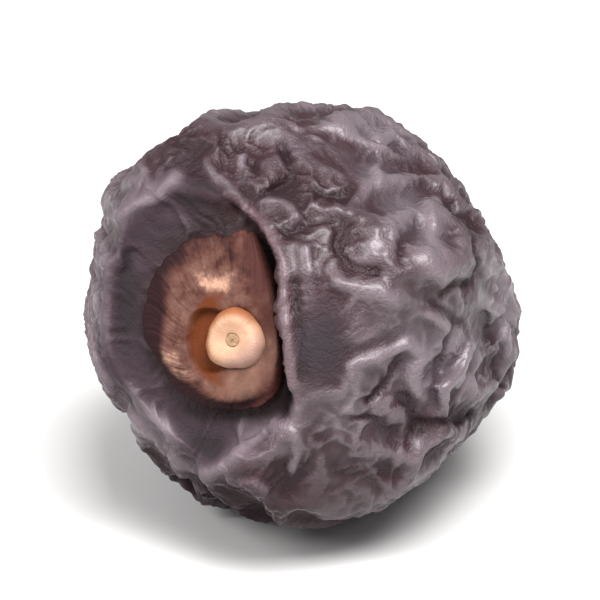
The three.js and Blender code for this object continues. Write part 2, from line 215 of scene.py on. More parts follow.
def standing(points, normals, triangles, rounds, depth):
    # how far each point stands out of the smoothed surface, as a share of the depth, from -1 to 1; each
    # round of smoothing moves a point half way to its neighbours' mean
    edges, _, degree = edgesOf(triangles, len(points))
    smooth = points
    for _ in range(rounds):
        smooth = smooth + 0.5 * lead(smooth, edges, degree)
    return np.clip(((points - smooth) * normals).sum(1) / depth, -1, 1)


def loopSubdivide(points, triangles):
    # Loop's scheme: an edge's new point is 3/8 of its ends plus 1/8 of the corners across from it,
    # and an old point keeps 1 - n b of itself, with b = (5/8 - (3/8 + cos(2 pi / n) / 4)^2) / n
    across = np.concatenate([triangles[:, 2], triangles[:, 0], triangles[:, 1]])
    count = len(points)
    edges, side, degree = edgesOf(triangles, count)
    corners = gather(side.ravel(), points[across], len(edges))
    middles = 0.375 * points[edges].sum(1) + 0.125 * corners
    around = gather(edges[:, 0], points[edges[:, 1]], count)
    around += gather(edges[:, 1], points[edges[:, 0]], count)
    share = (0.625 - (0.375 + 0.25 * np.cos(2 * math.pi / degree)) ** 2) / degree
    kept = points * (1 - degree * share)[:, None] + around * share[:, None]
    ab, bc, ca = count + side
    a, b, c = triangles.T
    quarters = ((a, ab, ca), (ab, b, bc), (ca, bc, c), (ab, bc, ca))
    return np.concatenate([kept, middles]), np.concatenate([np.stack(q, 1) for q in quarters])


def crumple(points, triangles, excess, grip, loose, level):
    # the skin finds its rest in small steps: an edge wants its length times 1 + excess, bending (the lead
    # of the lead of how far a point has moved) and the flesh's grip hold it back, and the floor stops it
    edges, _, degree = edgesOf(triangles, len(points))
    start, end = edges.T
    normals = normalsOf(points, triangles)
    length = np.linalg.norm(points[end] - points[start], axis=1)
    rest = length * (1 + (excess[start] + excess[end]) / 2)
    tremble = level["tremble"] * loose * swell(points, level["trembleWave"], level["stream"], 40)
    now = points + normals * tremble[:, None]
    speed = np.zeros_like(now)
    for _ in range(level["steps"]):
        span = now[end] - now[start]
        pull = span * (1 - rest / np.sqrt((span * span).sum(1)))[:, None]
        push = spread(pull, edges, degree)
        lag = now - points
        bending = lead(lead(lag, edges, degree), edges, degree)
        off = (lag * normals).sum(1)
        outward = 0.5 * np.maximum(0, -level["pressIn"] - off) - (grip - level["slip"]) * off
        push += normals * outward[:, None] - level["stiffness"] * bending - level["slip"] * lag
        speed = level["keep"] * speed + push
        now = now + level["keep"] * speed
        now[:, 2] = np.maximum(now[:, 2], 0)
    return now


def inScene(name, data):
    # a new object in the scene
    item = bpy.data.objects.new(name, data)
    bpy.context.scene.collection.objects.link(item)
    return item


def addPiece(name, points, faces, finish, node, attributes):
    # puts the arrays in a mesh, which rides on the one body and stands for its solid
    low, high = np.array(cadBox) / mm
    inside = np.clip(points, low, high) * mm  # nothing stands outside the solids' box
    mesh = bpy.data.meshes.new(name)
    mesh.vertices.add(len(points))
    mesh.vertices.foreach_set("co", inside.astype(np.float32).ravel())
    mesh.loops.add(faces.size)
    mesh.loops.foreach_set("vertex_index", faces.astype(np.int32).ravel())
    mesh.polygons.add(len(faces))
    mesh.polygons.foreach_set("loop_start", np.arange(0, faces.size, 3, dtype=np.int32))
    mesh.update(calc_edges=True)
    mesh.validate()
    mesh.shade_smooth()
    for label, values in attributes.items():
        layer = mesh.attributes.new(label, "FLOAT", "POINT")
        layer.data.foreach_set("value", values.astype(np.float32))
    mesh.materials.append(finish)
    piece = inScene(name, mesh)
    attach(piece, "root")
    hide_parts(node)
    print(name, len(points), "points", len(faces), "faces")
    return piece


class Sock:
    # one output of a material's node; sums and products of numbers add Math nodes
    def __init__(self, tree, socket=None):
        self.tree = tree
        self.socket = socket

    def node(self, kind, settings=None, values=None, output=0):
        # adds a node, sets its settings and then its sockets, and gives one of its outputs
        made = self.tree.nodes.new("ShaderNode" + kind)
        for name, value in (settings or {}).items():
            if name == "stops":
                setStops(made.color_ramp, value)
            else:
                setattr(made, name, value)
        for name, value in (values or {}).items():
            if isinstance(value, Sock):
                self.tree.links.new(value.socket, made.inputs[name])
            else:
                made.inputs[name].default_value = value
        return Sock(self.tree, made.outputs[output])

    def maths(self, operation, *others):
        return self.node("Math", {"operation": operation}, dict(enumerate((self, *others))))

    def __add__(self, other):
        return self.maths("ADD", other)

    def __sub__(self, other):
        return self.maths("SUBTRACT", other)

    def __mul__(self, other):
        return self.maths("MULTIPLY", other)

    def __rsub__(self, other):
        return self * -1 + other

    __radd__ = __add__
    __rmul__ = __mul__

    def held(self):
        # kept from 0 to 1
        return self.node("Clamp", None, {0: self})

    def between(self, low, high):
        # 0 below low, 1 above high, eased between
        settings = {"interpolation_type": "SMOOTHSTEP"}
        return self.node("MapRange", settings, {0: self, 1: low, 2: high, 3: 0.0, 4: 1.0})

    def ramp(self, piece, places):
        # a ramp through the piece's named colours, each at its place
        stops = [(place, srgb(*piece[name])) for name, place in places.items()]
        return self.node("ValToRGB", {"stops": stops}, {0: self})

    def over(self, below, above):
        # this value as the share of the colour above over the colour below
        return self.node("Mix", {"data_type": "RGBA"}, {0: self, 6: below, 7: above}, 2)

    def vector(self, operation, other=(0.0, 0.0, 0.0), scale=1.0):
        # this is a vector, and so is the outcome
        return self.node("VectorMath", {"operation": operation}, {0: self, 1: other, 3: scale})

    def bump(self, strength, depth):
        # the normal tipped by this height, whose whole step is so many millimetres deep
        return self.node("Bump", None, {"Strength": strength, "Distance": depth * mm, "Height": self})

    def noise(self, size, detail=3.0, roughness=0.55, distortion=0.0, output=0):
        # this is a place; size is that of a typical lump, in millimetres
        values = {
            "Vector": self, "Scale": 1 / (size * mm), "Detail": detail, "Roughness": roughness,
            "Distortion": distortion}
        return self.node("TexNoise", None, values, output)

    def lines(self, size, detail, roughness, width):
        # 0 where such a noise crosses its mean, easing to 1 where it is the width away from it
        return (self.noise(size, detail, roughness) - 0.5).maths("ABSOLUTE").between(0.0, width)

    def named(self, attribute):
        # a number that the mesh holds at each point
        return self.node("Attribute", {"attribute_name": attribute}, None, 2)


def setStops(ramp, stops):
    # stops are rows of a place from 0 to 1 and a colour
    while len(ramp.elements) > 1:
        ramp.elements.remove(ramp.elements[-1])
    for index, (place, colour) in enumerate(stops):
        element = ramp.elements[0] if index == 0 else ramp.elements.new(place)
        element.position = place
        element.color = colour


def srgb(*screen):
    # a screen colour from 0 to 255 as linear light: ((c + 0.055) / 1.055)^2.4, or c / 12.92 near black
    channels = [value / 255 for value in screen]
    light = [c / 12.92 if c < 0.04045 else ((c + 0.055) / 1.055) ** 2.4 for c in channels]
    return (*light, 1.0)


def newFinish(name):
    # an empty material, the places on its piece to build from, and its shader
    material = bpy.data.materials.new(name)
    material.use_nodes = True
    tree = material.node_tree
    return material, Sock(tree).node("TexCoord", None, None, "Object"), tree.nodes["Principled BSDF"]


def layered(colour, piece, layers):
    # lays the piece's named colours over the first one, each by its own share
    for name, share in layers.items():
        colour = share.over(colour, srgb(*piece[name]))
    return colour


def finishWith(shader, piece, height, **varying):
    # the piece's constants go on the shader's own sockets; what varies is linked, and so is the bump
    for name, value in piece["gloss"].items():
        shader.inputs[name].default_value = value
    varying["Normal"] = height.bump(*piece["bump"])
    for name, value in varying.items():
        value.tree.links.new(value.socket, shader.inputs[name.replace("_", " ")])


print("scene: the fruit")
skin = {
    "sink": 0.12,  # the copy starts this far under the solid, because the ridges stand out from it
    # for the coarse and the fine level: how much too long the skin is, how the flesh grips it, how stiff
    # it is, its steps and the share of its speed that it keeps, its first tremble, the net of ridges on
    # it, and how high the seen folds and the hollow's rays stand
    "levels": {
        "excess": (0.07, 0.105), "spread": (0.03, 0.03), "patch": (7, 5), "grip": (0.007, 0.015),
        "gripPatch": (6, 4), "slip": (0.01, 0.01), "stiffness": (0.14, 0.06), "pressIn": (0.06, 0.03),
        "steps": (180, 90), "keep": (0.6, 0.6), "tremble": (0.03, 0.01), "trembleWave": (2.6, 1.1),
        "stream": (51, 61), "ridge": (0.1, 0.065), "ridgeWidth": (0.36, 0.16), "ridgeWave": (4.2, 2.2),
        "seen": (0.5, 0.5), "seenWidth": (1.2, 0.75), "hold": (0.5, 0.2), "rays": (0.0, 0.05),
    },
    "gripSpread": 0.6,
    "mostExcess": 0.24,
    "facetPlace": (5.0, -0.2),  # the smooth patch beside the crease, and its half sizes
    "facetSize": (1.3, 2.2),
    "bend": 0.2,  # the seen folds are bent this much, with waves of this length
    "bendWave": 3.4,
    "uneven": 0.3,
    "unevenWave": 1.8,
    "creaseSharpness": 1.3,
    "crestBend": 0.2,  # the crest and the crease beside it take this share of the bend
    "holdReach": 1.6,  # the skin is held near a seen fold, as far out as this many of its widths
    "lineWidth": 0.2,  # half the width of the pale and dark lines along them
    "rayCounts": (17, 29, 41, 59),  # fine folds on the floor of the hollow that run out from the cap
    "petalShadowRadius": 5.8,  # the floor takes a painted shadow of the petals this far from their middle
    "hollowCalm": 0.85,  # shares of the skin's looseness that are missing there
    "facetCalm": 0.8,
    "crestCalm": 0.7,
    "crestReach": 0.9,
    "bellyClear": 1.2,  # the skin is calm below this height
    "foldSlice": 0.35,  # distance between the sections that the fold's crest is found in
    "relief": (14, 0.1),  # rounds of smoothing and the height that counts as fully raised
    "form": (120, 0.25),
    "seenDepth": 0.3,
    "sideWidth": 1.4,  # of the painted red shade on the fold's inner side, where its shadow falls, and of the painted highlight on its pale crest line
    "crestHighlightWidth": 0.24,
    # lengths of the lumps and lines in its colours and its bump, in millimetres
    "sizes": {
        "cloud": 5.5, "mottle": 1.3, "grain": 0.28, "reddish": 4.4, "bloom": 3.2, "swirl": 2.6,
        "crease": 0.9, "wrinkle": 0.42, "fibre": 0.3,
    },
    "swirlReach": 1.6,
    "fibreStretch": 0.4,
    "bump": (0.5, 0.07),  # strength, and depth in millimetres
    "roughness": 0.46,
    "coat": 0.04,
    "gloss": {
        "IOR": 1.45, "Specular IOR Level": 0.36, "Specular Tint": srgb(248, 238, 244),
        "Coat Roughness": 0.38, "Sheen Weight": 0.03, "Sheen Tint": srgb(174, 165, 178),
    },
    # colours as a screen shows them
    # the two darkest are partly the skin's own dark and partly painted shade in the creases
    "deep": (24, 7, 11), "valley": (40, 20, 25), "plain": (54, 41, 45), "crest": (85, 72, 77),
    # the pale line is the bloom along the folds together with a painted highlight on them
    "reddish": (44, 22, 21), "bloom": (96, 88, 96), "line": (112, 103, 109),
    # the hollow's painted shade, its painted light, a painted shadow round the petals and a painted
    # highlight along its rim
    "hollowShaded": (20, 13, 16), "hollowLit": (39, 25, 32), "petalShadow": (27, 14, 12), "rimHighlight": (88, 76, 82),
    # after the facet: painted shade on the fold's inner side and a painted highlight along its crest
    "facet": (33, 28, 32), "foldSideShade": (44, 16, 17), "foldCrest": (80, 60, 63),
}


# The larger folds and creases of the seen side: the path, the rise, which is below 0 for a crease, and
# half the width. Places are millimetres to the right of the date's middle and above it, seen from there.
seenFolds = [
    ([(1.2, 9.1), (2.8, 8.7), (4.0, 8.2)], 0.28, 0.4),
    ([(0.3, 5.2), (1.8, 4.9)], 0.2, 0.3),
    ([(3.5, 6.9), (3.6, 6.3)], 0.2, 0.4),
    ([(6.2, 4.8), (6.1, 3.2), (6.7, 2.1)], 0.35, 0.65),
    ([(-0.3, 2.9), (-0.3, 1.7)], 0.25, 0.25),
    ([(1.6, 1.3), (2.8, 0.7), (4.4, 0.4)], 0.28, 0.45),
    ([(8.9, 2.8), (9.3, 1.1)], 0.2, 0.4),
    ([(2.2, -3.1), (3.2, -2.8), (4.0, -2.1), (5.0, -1.6), (5.8, -2.2), (5.3, -3.5), (5.5, -4.5)],
     0.32, 0.32),
    ([(5.5, -0.3), (7.0, -1.0)], 0.25, 0.35),
    ([(7.9, -1.6), (7.5, -2.9), (6.6, -3.8), (6.9, -4.7)], 0.32, 0.32),
    ([(9.9, 0.0), (10.1, -1.2), (10.4, -2.1)], 0.25, 0.35),
    ([(-0.3, -5.1), (1.4, -4.1), (2.2, -3.5), (2.1, -4.8)], 0.2, 0.35),
    ([(8.2, -4.2), (9.9, -4.3)], 0.25, 0.5),
    ([(-0.9, -6.0), (-0.8, -8.1)], 0.25, 0.35),
    ([(-6.2, -9.3), (-5.3, -9.8), (-4.5, -10.7)], 0.25, 0.35),
    ([(-3.9, -8.5), (-3.2, -8.8), (-2.3, -9.2)], 0.25, 0.3),
    ([(-2.0, 5.4), (-1.0, 5.0), (-0.6, 4.6)], 0.22, 0.28),
    ([(-5.0, 7.0), (-4.5, 6.3), (-3.6, 5.9), (-2.9, 5.5)], 0.15, 0.4),
    ([(-3.4, 7.7), (-3.2, 6.4)], 0.18, 0.3),
    ([(-8.2, 7.2), (-8.7, 6.1)], 0.2, 0.35),
    ([(-1.0, 8.0), (-0.8, 7.6)], -0.32, 0.3),
    ([(-2.1, 5.9), (-0.7, 6.6)], -0.27, 0.3),
    ([(0.3, 6.2), (2.1, 5.6)], -0.22, 0.21),
    ([(-0.3, 4.1), (1.4, 4.1)], -0.17, 0.21),
    ([(2.0, 4.3), (1.5, 2.8), (3.1, 1.5)], -0.22, 0.26),
    ([(5.0, 4.6), (4.9, 2.8), (4.8, 1.9)], -0.22, 0.21),
    ([(7.5, 5.2), (8.0, 3.4), (8.4, 2.3)], -0.27, 0.26),
    ([(6.6, 1.1), (7.8, 1.6)], -0.24, 0.19),
    ([(5.8, 0.6), (7.3, -0.3), (7.5, -0.8), (6.6, -2.2), (6.1, -4.1)], -0.25, 0.21),
    ([(2.8, -4.2), (4.1, -3.1), (4.7, -2.5)], -0.25, 0.24),
    ([(8.6, -0.2), (9.2, -1.8), (9.9, -3.8)], -0.32, 0.38),
    ([(5.3, -5.7), (6.3, -5.8), (7.4, -5.7), (8.2, -5.3)], -0.35, 0.27),
    ([(5.0, -5.3), (4.6, -4.3)], -0.21, 0.21),
    ([(2.4, -5.6), (3.2, -5.7)], -0.17, 0.19),
    ([(-1.7, 4.7), (-1.2, 4.2), (-0.8, 3.9)], -0.21, 0.24),
    ([(-4.5, 9.2), (-4.4, 8.2)], -0.08, 0.34),
    ([(-7.7, 6.5), (-7.3, 6.3)], -0.17, 0.26),
    ([(-2.9, 7.4), (-2.7, 7.0)], -0.17, 0.21),
]
# The same for the edge of the fold beside the cap, the crease next to it and the rim of the hollow
seenCrest = ([
    (-3.0, 5.0), (-2.3, 4.2), (-1.5, 3.1), (-1.2, 2.2), (-1.1, 0.2), (-1.0, -1.0), (-0.9, -2.3),
    (-0.8, -3.9)], 0.42, 0.25)
seenCrease = ([
    (-0.7, 1.2), (-0.4, -0.5), (-0.3, -1.8), (-0.3, -3.4)], -0.4, 0.28)
seenRim = ([
    (-6.5, 6.6), (-7.4, 5.6), (-8.7, 5.0), (-9.7, 4.4), (-10.4, 3.7), (-10.2, 2.3), (-10.7, 1.0),
    (-11.0, -1.8), (-10.5, -3.1), (-8.8, -5.4), (-7.7, -6.4), (-6.5, -7.7), (-5.1, -8.3), (-4.3, -7.9),
    (-3.4, -7.0), (-1.5, -5.6)], 0.34, 0.34)
# Painted light and shade on the same side, as lighter and darker patches: how far right and up, half the
# width and the height, and how much lighter, 1 being about the step from a crease to a fold
seenLightAndShade = [
    # above the hollow
    (3.7, 9.2, 1.6, 0.9, 1.2), (0.0, 6.6, 2.4, 1.4, -0.5), (-6.0, 8.0, 2.2, 1.2, -1.3),
    (4.8, 5.2, 1.1, 1.1, 0.8), (-1.2, 5.7, 1.0, 0.9, -0.9), (3.5, 6.7, 0.9, 1.2, 0.7),
    (-3.2, 5.4, 0.7, 0.6, -1.0), (-4.3, 9.9, 1.0, 0.6, 0.6), (0.0, 10.3, 1.5, 0.5, 0.4),
    (-5.4, 5.7, 1.2, 0.9, -0.9),
    # the hollow and its rim
    (-4.0, 3.7, 0.6, 0.6, 0.4), (-2.8, -5.5, 1.0, 0.7, 1.2), (-10.0, -4.8, 0.8, 2.2, -1.6),
    (-8.2, -7.8, 1.2, 1.2, -1.4), (-3.9, 5.0, 0.8, 0.7, -0.9), (-7.8, -6.2, 0.9, 1.0, 0.9),
    (-3.0, -6.6, 0.9, 0.7, 0.6), (-9.1, 0.8, 0.8, 2.4, -0.9), (-8.6, 2.2, 0.3, 0.6, 0.5),
    (-7.4, 3.4, 1.2, 0.7, -0.4), (-5.3, -6.8, 0.8, 0.6, -0.7), (-4.4, -5.1, 1.7, 0.4, -0.8),
    (-3.3, 4.2, 0.22, 1.0, 1.3), (-2.5, 3.6, 0.4, 1.3, -1.4),
    # right of the fold
    (3.5, 3.1, 0.9, 0.8, 0.4), (6.2, 3.5, 0.7, 1.5, 0.6), (3.6, 0.7, 1.6, 0.5, 0.3),
    (7.6, -2.4, 0.5, 1.2, 0.5), (0.9, -1.2, 1.1, 2.4, -1.5), (0.0, -4.4, 0.8, 1.6, -0.8),
    (2.2, 4.0, 1.2, 1.0, -0.5), (-1.9, 4.7, 0.8, 0.8, -0.4), (7.5, 2.4, 0.7, 0.6, -0.4),
    (4.5, 4.4, 0.6, 0.8, 0.3), (9.8, 0.2, 1.0, 2.6, 1.2), (6.6, -2.4, 2.2, 1.6, 0.8),
    (9.2, -1.8, 0.4, 1.6, -0.5), (4.5, 2.0, 1.1, 0.8, -0.5), (5.6, 3.9, 0.9, 0.9, 0.6),
    (-0.5, 3.7, 0.8, 0.8, -0.4), (-1.4, 2.9, 0.6, 0.6, -1.0), (10.0, -4.5, 0.6, 0.8, -0.5),
    # under the hollow
    (-3.6, -10.2, 5.5, 2.0, -1.5), (-5.9, -8.4, 1.2, 0.8, -0.5), (6.8, -5.8, 1.8, 0.6, -0.8),
    (-2.8, -8.2, 1.3, 0.8, -0.6), (1.9, -5.8, 1.2, 0.8, 0.4),
]
# The same for the cap, where the patches are painted light and shade together with blotches of the
# petals' own lighter and darker colour
capLightShadeAndBlotches = [
    (-4.5, 1.2, 1.0, 0.7, 0.85), (-5.3, 1.6, 0.6, 0.5, 0.4), (-6.7, 1.5, 0.6, 0.5, 0.1),
    (-6.2, -0.4, 0.6, 1.4, 0.3), (-7.1, -2.7, 0.7, 0.9, 1.1), (-6.2, -3.4, 0.7, 0.5, 0.6),
    (-2.1, -2.6, 0.6, 1.1, 0.3), (-7.8, 0.0, 0.6, 1.5, -1.2), (-6.7, 2.7, 0.6, 0.6, -0.5),
    (-6.4, -4.3, 0.6, 0.6, -0.9), (-2.5, -4.7, 0.8, 0.5, -0.9), (-2.4, 3.0, 0.4, 1.2, -1.4),
    (-3.3, 3.3, 0.25, 0.9, 0.6), (-2.2, 1.2, 0.5, 0.6, -0.2), (-4.5, 2.2, 0.3, 0.2, -0.4),
]


def pictureOf(points, normals):
    # how far right and up from the date's middle each point is seen, and 1 where it faces the camera
    place = (points - ownMiddle) @ np.array([rightwards, upwards]).T
    return place, ease(normals @ np.array(towards), 0.05, 0.3)


def fromPath(place, path):
    # the distance to the nearest stretch of the path
    start, end = np.array(path[:-1]), np.array(path[1:])
    stretch = end - start
    offset = place[:, None] - start
    share = np.clip((offset * stretch).sum(-1) / (stretch ** 2).sum(-1), 0, 1)
    return np.linalg.norm(offset - share[..., None] * stretch, axis=-1).min(1)


def seenShapes(points, normals, hollow, widthShare):
    # The height is the sum of rise exp(-(distance / width)^n) over the seen folds, with n = 2 for a fold
    # and less for a crease, the place bent and the rise changed by slow swells. Near is 1 at the nearest
    # one, and the lines run along the folds and the creases.
    place, facing = pictureOf(points, normals)
    bend = np.stack([swell(points, skin["bendWave"], stream, 24) for stream in (81, 84)], 1)
    bent = place + skin["bend"] * bend
    strength = 1 + skin["uneven"] * swell(points, skin["unevenWave"], 87, 24)
    outside, near, foldBloomAndHighlight, creaseShade = np.zeros((4, len(points)))
    for path, rise, width in seenFolds:
        distance = fromPath(bent, path)
        sharp = 2 if rise > 0 else skin["creaseSharpness"]
        outside += rise * strength * bell(distance / width, widthShare, sharp)
        near = np.maximum(near, bell(distance / width, skin["holdReach"]))
        line = foldBloomAndHighlight if rise > 0 else creaseShade
        np.maximum(line, bell(distance, skin["lineWidth"]), out=line)
    for path, rise, width in (seenCrest, seenCrease):
        away = fromPath(place + skin["crestBend"] * (bent - place), path) / width
        outside += rise * bell(away, widthShare)
        near = np.maximum(near, bell(away, skin["holdReach"]))
    path, rise, width = seenRim
    rim = bell(fromPath((place + bent) / 2, path), width * widthShare)
    shown = facing * (1 - hollow)
    return {
        "height": (outside * (1 - hollow) + rise * rim) * facing,
        "near": np.maximum(near * (1 - hollow), rim) * facing,
        "foldBloomAndHighlight": foldBloomAndHighlight * shown,
        "creaseShade": creaseShade * shown,
    }


def seenPatch(points, normals, patches):
    # the painted light and shade of the patches (on the cap, with its blotches): the sum of light
    # exp(-(distance / size)^2) over them
    place, facing = pictureOf(points, normals)
    light = np.zeros(len(points))
    for row in np.array(patches):
        away = (place - row[:2]) / row[2:4]
        light += row[4] * np.exp(-(away ** 2).sum(1))
    return light * facing


def foldCrest(own):
    # in each slice across the fold, the point that reaches highest and furthest over the cap
    ups = np.arange(lie["foldFoot"] + 0.5, lie["foldTop"] - 0.5, skin["foldSlice"])
    past = pastFold(own)
    near = (np.abs(past + 0.6) < 1.7) & (own[:, 2] > lie["seatHeight"])
    nowhere = -99
    reach = np.where(near, own[:, 2] - 0.4 * past, nowhere)
    inSlice = np.abs(own[:, 1] - ups[:, None]) < skin["foldSlice"]
    crest = softened(own[np.where(inSlice, reach, nowhere).argmax(1)], 8)
    return crest[crest[:, 1].argsort()]


def fromCrest(own, crest):
    # how far right of the crest and how far above it a point lies, in its own slice
    return [own[:, axis] - np.interp(own[:, 1], crest[:, 1], crest[:, axis]) for axis in (0, 2)]


def nearCrest(own, crest, width):
    # exp(-(distance / width)^2) from the crest, dying out at its ends
    across, above = fromCrest(own, crest)
    ends = ease(lie["foldTop"] - own[:, 1], 0.3, 2.5) * ease(own[:, 1] - lie["foldFoot"], 0.2, 2)
    return bell(np.hypot(across, above), width) * ends


def hollowMask(own, crest):
    # 1 on the floor and the wall of the hollow, 0 outside its rim; the wall leans out up to the crest
    across, above = fromCrest(own, crest)
    inside = ease(own[:, 2] - hollowHeight(own), -0.7, -0.2) * ease(own[:, 2], 8.5, 9.5)
    return inside * ease(-0.5 * above - across, -0.1, 0.2)


def facetMask(own, inner, outer):
    # 1 well inside an ellipse beside the fold and 0 outside it; the limits are shares of its half sizes
    away = (own[:, :2] - skin["facetPlace"]) / skin["facetSize"]
    return ease(-np.hypot(*away.T), -outer, -inner) * ease(own[:, 2], 8, 9)


def placesOf(points, triangles):
    # the normals, the points in the date's own frame, the fold's crest and how far each is in the hollow
    own = toOwn(points)
    crest = foldCrest(own)
    return normalsOf(points, triangles), own, crest, hollowMask(own, crest)


def looseness(points, own, crest, hollow):
    # 1 where the skin is free to fold, less in the hollow, on the facet, along the fold and on the belly
    calm = 1 - skin["hollowCalm"] * hollow
    calm *= 1 - skin["facetCalm"] * facetMask(own, 0.7, 1.2)
    calm *= 1 - skin["crestCalm"] * nearCrest(own, crest, skin["crestReach"])
    return calm * ease(points[:, 2], 0, skin["bellyClear"])


def ridgeNet(points, wave, width, stream):
    # lines where a bent swell is zero: exp(-(distance / width)^2), the distance being value / slope;
    # two nets of such lines fade in and out along their length
    bend = np.stack([swell(points, 2.2 * wave, stream + k, 20) for k in range(3)], 1)
    bent = points + 0.3 * wave * bend
    net = np.zeros(len(points))
    for k in (0, 1):
        length = wave * (1 + 0.3 * k)
        slope = 0.58 * 2 * math.pi / length
        away = swell(bent, length, stream + 7 + k, 24) / slope
        strength = ease(swell(points, 1.3 * wave, stream + 15 + k, 24), -0.9, 0.9)
        net = np.maximum(net, strength * bell(away, width))
    return net


def hollowRays(own):
    # the sum of one cosine of the turn round the cap for each count, which fade in and out with a swell
    right, up = (own[:, :2] - lie["cup"]).T
    turn = np.arctan2(up, right) + 0.06 * swell(own, 2.0, 91, 20)
    rays = sum(np.cos(count * turn + count ** 2) for count in skin["rayCounts"])
    return rays * (0.5 + 0.3 * swell(own, 1.6, 94, 20))


def makeFruit(finish):
    # a copy of the solid, split twice by Loop's scheme, with finer folds grown at each level
    points, triangles = weldedCopy("fruit")
    normals, own, crest, hollow = placesOf(points, triangles)
    sink = skin["sink"] * looseness(points, own, crest, hollow)
    points -= normals * sink[:, None]
    for index in range(2):
        level = {name: pair[index] for name, pair in skin["levels"].items()}
        points, triangles = loopSubdivide(points, triangles)
        normals, own, crest, hollow = placesOf(points, triangles)
        loose = looseness(points, own, crest, hollow)
        seen = seenShapes(points, normals, hollow, level["seenWidth"])
        loose = loose * (1 - level["hold"] * seen["near"])
        net = ridgeNet(points, level["ridgeWave"], level["ridgeWidth"], level["stream"] + 20)
        net *= level["ridge"] * loose
        rays = level["rays"] * hollow * hollowRays(own)
        points = points + normals * (net + level["seen"] * seen["height"] + rays)[:, None]
        patches = swell(points, level["patch"], level["stream"] + 3)
        excess = loose * np.clip(level["excess"] + level["spread"] * patches, 0, skin["mostExcess"])
        grips = swell(points, level["gripPatch"], level["stream"] + 6)
        grip = level["grip"] * np.exp(skin["gripSpread"] * grips)
        points = crumple(points, triangles, excess, grip, loose, level)
    normals, own, crest, hollow = placesOf(points, triangles)
    place, facing = pictureOf(points, normals)
    seen = seenShapes(points, normals, hollow, 1)
    rights, ups = np.array(seenCrest[0][::-1]).T
    leftOfCrest = np.interp(place[:, 1], ups, rights) - place[:, 0]
    # a painted highlight along the fold's crest
    crestHighlight = bell(fromPath(place, seenCrest[0]), skin["crestHighlightWidth"])
    fromPetals = np.hypot(*(own[:, :2] - lie["petals"]).T)
    attributes = {
        # how high the seen folds stand; the colour uses it as painted light on the folds and painted
        # shade in the creases
        "seen": np.clip(seen["height"] / skin["seenDepth"], -1, 1),
        # the bloom along the seen folds, with a painted highlight on them
        "foldBloomAndHighlight": seen["foldBloomAndHighlight"],
        # painted shade along the seen creases
        "creaseShade": seen["creaseShade"],
        # painted light and shade of the seen side
        "patch": seenPatch(points, normals, seenLightAndShade),
        # a painted shadow on the floor of the hollow round the petals
        "shadowByPetals": ease(-fromPetals, -skin["petalShadowRadius"], -skin["petalShadowRadius"] + 1.1) * hollow,
        "relief": standing(points, normals, triangles, *skin["relief"]),
        "form": standing(points, normals, triangles, *skin["form"]),
        "hollow": hollow,
        "facet": facetMask(own, 0.1, 1.5),
        # a painted highlight along the rim of the hollow
        "rimHighlight": bell(fromPath(place, seenRim[0]), seenRim[2]) * facing,
        # painted shade on the fold's inner side, under its crest
        "foldSideShade": nearCrest(own, crest, skin["sideWidth"]) * ease(leftOfCrest, 0.2, 0.36),
        # a painted highlight along the fold's crest
        "foldCrest": crestHighlight * facing * (1 - hollow),
    }
    return addPiece("date_fruit", points, triangles, finish, "fruit", attributes)


